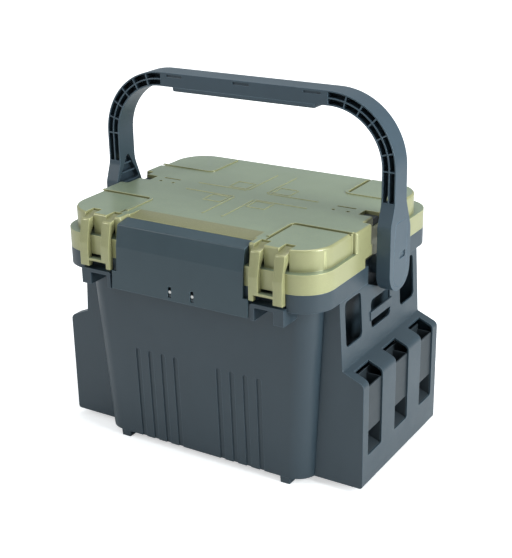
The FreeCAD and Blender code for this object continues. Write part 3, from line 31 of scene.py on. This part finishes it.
# Plain colours that the materials vary around, linear red, green and blue
SLATE = (0.028, 0.045, 0.058)
HANDLE_SLATE = (0.040, 0.064, 0.084)
FLAP_SLATE = (0.036, 0.060, 0.073)
INSERT_DARK = (0.020, 0.028, 0.034)
OLIVE = (0.330, 0.325, 0.160)
# Painted reflection and shade: a bluer, darker olive for level lid tops, standing in for the sky
# they reflect
LID_TOP_PAINTED_SHEEN_OLIVE = (0.236, 0.288, 0.196)
TRAY_GREY = (0.10, 0.12, 0.13)
STEEL = (0.62, 0.62, 0.60)

# Glow that the camera sees on the floor, beside the box and far from it, and where each is reached
FLOOR_GLOW = (0.55, 1.0)
GLOW_REACH = (0.6, 1.6)
FLOOR_GREY = 0.86
FLOOR_REACH = 12.0

# Soft light from all round
FILL_COLOUR = (0.86, 0.95, 1.0)
FILL_STRENGTH = 0.46

# Edges: their radius in shading, the latches' own in shape, and how far shade is looked for
EDGE_RADIUS = 0.0010
LATCH_EDGE = 0.0011
EDGE_REACH = 0.006
CREVICE_REACH = 0.012
WELD_DISTANCE = 0.000002
BEVEL_ANGLE = 32.0
SMOOTH_ANGLE = 31.0

# Heights of a face's normal between which it starts to count as sloping, and as level: sloping
# faces take a painted shade, level ones a painted reflection of the sky
SLOPING_FACE = (0.975, 0.985)
LEVEL_FACE = (0.992, 0.998)


def grey(strength):
    """A neutral colour with the given linear strength."""
    return (strength, strength, strength, 1.0)


# Material helpers
def new_material(name):
    """An empty node material with its shader and output."""
    material = bpy.data.materials.new(name)
    material.use_nodes = True
    tree = material.node_tree
    tree.nodes.clear()
    output = tree.nodes.new("ShaderNodeOutputMaterial")
    shader = tree.nodes.new("ShaderNodeBsdfPrincipled")
    tree.links.new(shader.outputs["BSDF"], output.inputs["Surface"])
    return material, tree, shader


def noise(tree, scale, detail=3.0, roughness=0.5, stretch=(1, 1, 1)):
    """Noise in the object's own coordinates; scale is in waves per metre."""
    place = tree.nodes.new("ShaderNodeTexCoord")
    mapping = tree.nodes.new("ShaderNodeMapping")
    mapping.inputs["Scale"].default_value = stretch
    texture = tree.nodes.new("ShaderNodeTexNoise")
    texture.inputs["Scale"].default_value = scale
    texture.inputs["Detail"].default_value = detail
    texture.inputs["Roughness"].default_value = roughness
    tree.links.new(place.outputs["Object"], mapping.inputs["Vector"])
    tree.links.new(mapping.outputs["Vector"], texture.inputs["Vector"])
    return texture.outputs["Fac"]


def spread(tree, value, low, high, start=0.3, end=0.7):
    """Maps a value from start and end to low and high."""
    node = tree.nodes.new("ShaderNodeMapRange")
    node.inputs["From Min"].default_value = start
    node.inputs["From Max"].default_value = end
    node.inputs["To Min"].default_value = low
    node.inputs["To Max"].default_value = high
    tree.links.new(value, node.inputs["Value"])
    return node.outputs["Result"]


def mix_colours(tree, factor, first, second):
    """Mixes two colours, each a tuple or a socket."""
    node = tree.nodes.new("ShaderNodeMix")
    node.data_type = "RGBA"
    for socket, value in ((node.inputs[6], first), (node.inputs[7], second)):
        if isinstance(value, tuple):
            socket.default_value = (*value, 1.0)
        else:
            tree.links.new(value, socket)
    tree.links.new(factor, node.inputs[0])
    return node.outputs[2]


def tone(colour, share):
    """A colour made lighter or darker by a share."""
    return tuple(channel * share for channel in colour)


def bumped(tree, height, distance, strength, under=None):
    """A bump node over a height, on top of another one if given."""
    node = tree.nodes.new("ShaderNodeBump")
    node.inputs["Distance"].default_value = distance
    node.inputs["Strength"].default_value = strength
    tree.links.new(height, node.inputs["Height"])
    if under is not None:
        tree.links.new(under, node.inputs["Normal"])
    return node.outputs["Normal"]


def rounded_edges(tree, radius):
    """A normal that rounds hard edges, and a mask of the edges that stand out, which carries a
    painted highlight.
    """
    bevel = tree.nodes.new("ShaderNodeBevel")
    bevel.samples = 8
    bevel.inputs["Radius"].default_value = radius
    geometry = tree.nodes.new("ShaderNodeNewGeometry")
    dot = tree.nodes.new("ShaderNodeVectorMath")
    dot.operation = "DOT_PRODUCT"
    tree.links.new(bevel.outputs["Normal"], dot.inputs[0])
    tree.links.new(geometry.outputs["Normal"], dot.inputs[1])
    turned = spread(tree, dot.outputs["Value"], 1.0, 0.0, 0.86, 0.985)
    outward = spread(tree, openness(tree, EDGE_REACH), 0.0, 1.0, 0.45, 0.62)
    mask = tree.nodes.new("ShaderNodeMath")
    mask.operation = "MULTIPLY"
    tree.links.new(turned, mask.inputs[0])
    tree.links.new(outward, mask.inputs[1])
    return bevel.outputs["Normal"], mask.outputs[0]


def openness(tree, distance):
    """How open a point is to its surroundings: 0 in a crevice, 1 on a free face."""
    node = tree.nodes.new("ShaderNodeAmbientOcclusion")
    node.samples = 6
    node.only_local = True
    node.inputs["Distance"].default_value = distance
    return node.outputs["AO"]


def painted_highlight_and_shade(tree, base, edge, light, dark):
    """Painted highlights along edges that stand out, and painted shade that darkens crevices."""
    # Painted highlight: lighter colour along the edges that stand out
    base = mix_colours(tree, spread(tree, edge, 0.0, 0.65, 0.0, 1.0), base, light)
    # Painted shade: darker colour in crevices
    crevice = spread(tree, openness(tree, CREVICE_REACH), 0.55, 0.0, 0.25, 0.75)
    return mix_colours(tree, crevice, base, dark)


def moulded_plastic(name, colour, gloss, grain=0.35):
    """Satin moulded plastic: cloudy tone, spark-eroded grain and slow sink marks, with painted
    highlights on edges and painted shade in crevices.
    """
    material, tree, shader = new_material(name)
    normal, edge = rounded_edges(tree, EDGE_RADIUS)
    cloud = spread(tree, noise(tree, 9.0, 4.0), 0.0, 1.0)
    flow = spread(tree, noise(tree, 45.0, 3.0, 0.6, (1, 1, 0.25)), 0.0, 0.35)
    base = mix_colours(tree, cloud, tone(colour, 0.93), tone(colour, 1.07))
    base = mix_colours(tree, flow, base, tone(colour, 1.12))
    # Painted highlights on the edges that stand out, and painted shade in crevices
    base = painted_highlight_and_shade(tree, base, edge, tone(colour, 3.4), tone(colour, 0.2))
    tree.links.new(base, shader.inputs["Base Color"])
    fine = noise(tree, 1900.0, 2.0, 0.6)
    rough = spread(tree, noise(tree, 22.0, 5.0, 0.6), gloss - 0.04, gloss + 0.05)
    tree.links.new(rough, shader.inputs["Roughness"])
    sink = bumped(tree, noise(tree, 14.0, 2.0), 0.0015, 0.04, normal)
    tree.links.new(bumped(tree, fine, 0.00012, grain, sink), shader.inputs["Normal"])
    return material


def upward(tree, start, end):
    """Rises from 0 to 1 as a face turns up, between two heights of its normal."""
    geometry = tree.nodes.new("ShaderNodeNewGeometry")
    parts = tree.nodes.new("ShaderNodeSeparateXYZ")
    tree.links.new(geometry.outputs["True Normal"], parts.inputs[0])
    return spread(tree, parts.outputs["Z"], 0.0, 1.0, start, end)


def olive_plastic(name):
    """Olive plastic with a fine fleck and a soft sheen, plus painted light: level tops painted
    greyer and bluer as a reflection of the sky, slopes painted darker as shade.
    """
    material, tree, shader = new_material(name)
    normal, edge = rounded_edges(tree, EDGE_RADIUS)
    cloud = spread(tree, noise(tree, 11.0, 4.0), 0.0, 1.0)
    fleck = spread(tree, noise(tree, 3200.0, 1.0, 0.4), 0.0, 1.0, 0.62, 0.78)
    base = mix_colours(tree, cloud, tone(OLIVE, 0.95), tone(OLIVE, 1.05))
    # Painted reflection and shade: level tops take a bluer, darker olive, as if reflecting the sky
    level = mix_colours(tree, cloud, tone(LID_TOP_PAINTED_SHEEN_OLIVE, 0.94), tone(LID_TOP_PAINTED_SHEEN_OLIVE, 1.06))
    # Painted shade: sloping faces take a darker olive
    base = mix_colours(tree, upward(tree, *SLOPING_FACE), base, tone(OLIVE, 0.66))
    base = mix_colours(tree, upward(tree, *LEVEL_FACE), base, level)
    base = mix_colours(tree, fleck, base, tone(OLIVE, 1.7))
    # Painted highlights on the edges that stand out, and painted shade in crevices
    base = painted_highlight_and_shade(tree, base, edge, tone(OLIVE, 2.4), tone(OLIVE, 0.12))
    tree.links.new(base, shader.inputs["Base Color"])
    shader.inputs["Metallic"].default_value = 0.22
    rough = spread(tree, noise(tree, 30.0, 4.0), 0.30, 0.37)
    tree.links.new(rough, shader.inputs["Roughness"])
    shader.inputs["Coat Weight"].default_value = 0.35
    shader.inputs["Coat Roughness"].default_value = 0.22
    sink = bumped(tree, noise(tree, 12.0, 2.0), 0.002, 0.04, normal)
    grain = bumped(tree, noise(tree, 1400.0, 2.0), 0.0001, 0.12, sink)
    tree.links.new(grain, shader.inputs["Normal"])
    return material


def steel(name):
    """Bright turned steel."""
    material, tree, shader = new_material(name)
    rings = noise(tree, 900.0, 2.0, 0.5, (1, 0.05, 1))
    base = mix_colours(tree, spread(tree, rings, 0.0, 1.0), tone(STEEL, 0.85), STEEL)
    tree.links.new(base, shader.inputs["Base Color"])
    shader.inputs["Metallic"].default_value = 1.0
    tree.links.new(spread(tree, rings, 0.2, 0.34), shader.inputs["Roughness"])
    return material


# Geometry helpers
def soften(obj, width):
    """Joins a node's facets, rounds its edges if asked and shades its round faces smooth."""
    weld = obj.modifiers.new("weld", "WELD")
    weld.merge_threshold = WELD_DISTANCE
    if width:
        bevel = obj.modifiers.new("edges", "BEVEL")
        bevel.width = width
        bevel.segments = 2
        bevel.limit_method = "ANGLE"
        bevel.angle_limit = math.radians(BEVEL_ANGLE)
    shading = obj.modifiers.new("shading", "NODES")
    shading.node_group = smooth_by_angle()


def smooth_by_angle():
    """A modifier that shades smooth, except across hard edges."""
    found = bpy.data.node_groups.get("shade_by_angle")
    if found:
        return found
    tree = bpy.data.node_groups.new("shade_by_angle", "GeometryNodeTree")
    tree.interface.new_socket("Geometry", in_out="INPUT", socket_type="NodeSocketGeometry")
    tree.interface.new_socket("Geometry", in_out="OUTPUT", socket_type="NodeSocketGeometry")
    start = tree.nodes.new("NodeGroupInput")
    end = tree.nodes.new("NodeGroupOutput")
    faces = tree.nodes.new("GeometryNodeSetShadeSmooth")
    faces.domain = "FACE"
    edges = tree.nodes.new("GeometryNodeSetShadeSmooth")
    edges.domain = "EDGE"
    angle = tree.nodes.new("GeometryNodeInputMeshEdgeAngle")
    compare = tree.nodes.new("FunctionNodeCompare")
    compare.operation = "LESS_THAN"
    compare.inputs[1].default_value = math.radians(SMOOTH_ANGLE)
    tree.links.new(start.outputs[0], faces.inputs["Geometry"])
    tree.links.new(faces.outputs[0], edges.inputs["Geometry"])
    tree.links.new(angle.outputs["Unsigned Angle"], compare.inputs[0])
    tree.links.new(compare.outputs[0], edges.inputs["Shade Smooth"])
    tree.links.new(edges.outputs[0], end.inputs[0])
    return tree


def paint(names, material, width=0.0):
    """Gives nodes a material, smooth round faces and, for simple shapes, rounded edges."""
    for name in names:
        obj = nodes[name]
        for slot in obj.material_slots:
            slot.material = material
        if not obj.material_slots:
            obj.data.materials.append(material)
        soften(obj, width)


def both(name):
    """The names of a right and left pair."""
    return [name + "_right", name + "_left"]


def finish_nodes():
    """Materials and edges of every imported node."""
    case = moulded_plastic("case_plastic_look", SLATE, 0.37)
    handle = moulded_plastic("handle_plastic_look", HANDLE_SLATE, 0.34, 0.2)
    flap = moulded_plastic("flap_plastic_look", FLAP_SLATE, 0.34, 0.15)
    insert = moulded_plastic("insert_plastic_look", INSERT_DARK, 0.5)
    tray = moulded_plastic("tray_plastic_look", TRAY_GREY, 0.45)
    olive = olive_plastic("lid_plastic_look")
    metal = steel("pin_steel_look")
    paint(["tub"] + both("end_frame") + both("belt_bar"), case)
    paint(["handle_frame", "handle_grip"] + both("handle_cap"), handle)
    paint(["front_flap"], flap)
    paint(["lid_shell"], olive)
    paint(both("latch"), olive, LATCH_EDGE)
    paint(both("pocket_insert") + both("lid_socket") + ["lid_liner"], insert)
    paint(["lift_tray"], tray)
    paint(["frame_screws", "lid_screws", "strike_studs", "flap_pin"], metal)
    paint(both("handle_pivot") + both("hinge_pin") + both("latch_pin"), metal)


# Studio
def make_floor():
    """A wide white floor that keeps the soft shadow of the box."""
    reach = FLOOR_REACH
    mesh = bpy.data.meshes.new("studio_floor")
    corners = [(-reach, -reach, 0), (reach, -reach, 0), (reach, reach, 0), (-reach, reach, 0)]
    mesh.from_pydata(corners, [], [(0, 1, 2, 3)])
    floor = bpy.data.objects.new("studio_floor", mesh)
    bpy.context.scene.collection.objects.link(floor)
    material, tree, shader = new_material("studio_floor_look")
    shader.inputs["Base Color"].default_value = grey(FLOOR_GREY)
    shader.inputs["Roughness"].default_value = 0.7
    shader.inputs["Specular IOR Level"].default_value = 0.1
    glow = tree.nodes.new("ShaderNodeEmission")
    rays = tree.nodes.new("ShaderNodeLightPath")
    add = tree.nodes.new("ShaderNodeAddShader")
    output = tree.nodes["Material Output"]
    scaled = tree.nodes.new("ShaderNodeMath")
    scaled.operation = "MULTIPLY"
    place = tree.nodes.new("ShaderNodeTexCoord")
    away = tree.nodes.new("ShaderNodeVectorMath")
    away.operation = "LENGTH"
    tree.links.new(place.outputs["Object"], away.inputs[0])
    near, far = FLOOR_GLOW
    tree.links.new(spread(tree, away.outputs["Value"], near, far, *GLOW_REACH), scaled.inputs[1])
    tree.links.new(rays.outputs["Is Camera Ray"], scaled.inputs[0])
    tree.links.new(scaled.outputs[0], glow.inputs["Strength"])
    tree.links.new(shader.outputs[0], add.inputs[0])
    tree.links.new(glow.outputs[0], add.inputs[1])
    tree.links.new(add.outputs[0], output.inputs["Surface"])
    mesh.materials.append(material)


def make_world():
    """Soft daylight from all round, white where the camera sees it."""
    world = bpy.data.worlds.new("studio")
    bpy.context.scene.world = world
    world.use_nodes = True
    tree = world.node_tree
    tree.nodes.clear()
    output = tree.nodes.new("ShaderNodeOutputWorld")
    fill = tree.nodes.new("ShaderNodeBackground")
    fill.inputs["Color"].default_value = (*FILL_COLOUR, 1.0)
    fill.inputs["Strength"].default_value = FILL_STRENGTH
    seen = tree.nodes.new("ShaderNodeBackground")
    seen.inputs["Color"].default_value = grey(1.0)
    rays = tree.nodes.new("ShaderNodeLightPath")
    mix = tree.nodes.new("ShaderNodeMixShader")
    tree.links.new(rays.outputs["Is Camera Ray"], mix.inputs[0])
    tree.links.new(fill.outputs[0], mix.inputs[1])
    tree.links.new(seen.outputs[0], mix.inputs[2])
    tree.links.new(mix.outputs[0], output.inputs["Surface"])


def make_lamp(name, place, target, width, height, watts, colour=(1, 1, 1)):
    """A soft box that faces a point."""
    light = bpy.data.lights.new(name, "AREA")
    light.shape = "RECTANGLE"
    light.size = width
    light.size_y = height
    light.energy = watts
    light.color = colour
    lamp = bpy.data.objects.new(name, light)
    bpy.context.scene.collection.objects.link(lamp)
    lamp.location = place
    lamp.rotation_mode = "QUATERNION"
    aim = Vector(target) - Vector(place)
    lamp.rotation_quaternion = aim.to_track_quat("-Z", "Y")


def make_lamps():
    """A large soft box above, a strong one to the right and a weak one at the left."""
    middle = (0.0, 0.0, 0.25)
    make_lamp("lamp_above", (0.1, 0.3, 2.2), middle, 1.8, 1.4, 23.0)
    make_lamp("lamp_right", (2.1, -0.2, 1.0), middle, 0.9, 1.3, 50.0, (0.92, 0.98, 1.0))
    make_lamp("lamp_left", (-1.7, -1.6, 1.5), middle, 0.8, 1.0, 15.0)


def make_camera():
    """The photograph's own viewpoint."""
    a = math.radians(CAMERA_AZIMUTH)
    e = math.radians(CAMERA_ELEVATION)
    r = math.radians(CAMERA_ROLL)
    back = Vector((math.sin(a) * math.cos(e), -math.cos(a) * math.cos(e), math.sin(e)))
    right = Vector((math.cos(a), math.sin(a), 0.0))
    up = right.cross(-back)
    side = math.cos(r) * right + math.sin(r) * up
    top = -math.sin(r) * right + math.cos(r) * up
    turn = Matrix((side, top, back)).transposed()
    camera_data = bpy.data.cameras.new("camera")
    camera_data.sensor_width = SENSOR
    camera_data.sensor_fit = "AUTO"
    camera_data.lens = FOCAL_PIXELS * SENSOR / max(PHOTO_SIZE)
    camera_data.clip_start = 0.05
    camera_data.clip_end = 50.0
    camera = bpy.data.objects.new("camera", camera_data)
    bpy.context.scene.collection.objects.link(camera)
    camera.matrix_world = Matrix.Translation(CAMERA_PLACE) @ turn.to_4x4()
    bpy.context.scene.camera = camera


bpy.context.scene.view_settings.view_transform = "Standard"
make_camera()
finish_nodes()
make_floor()
make_world()
make_lamps()
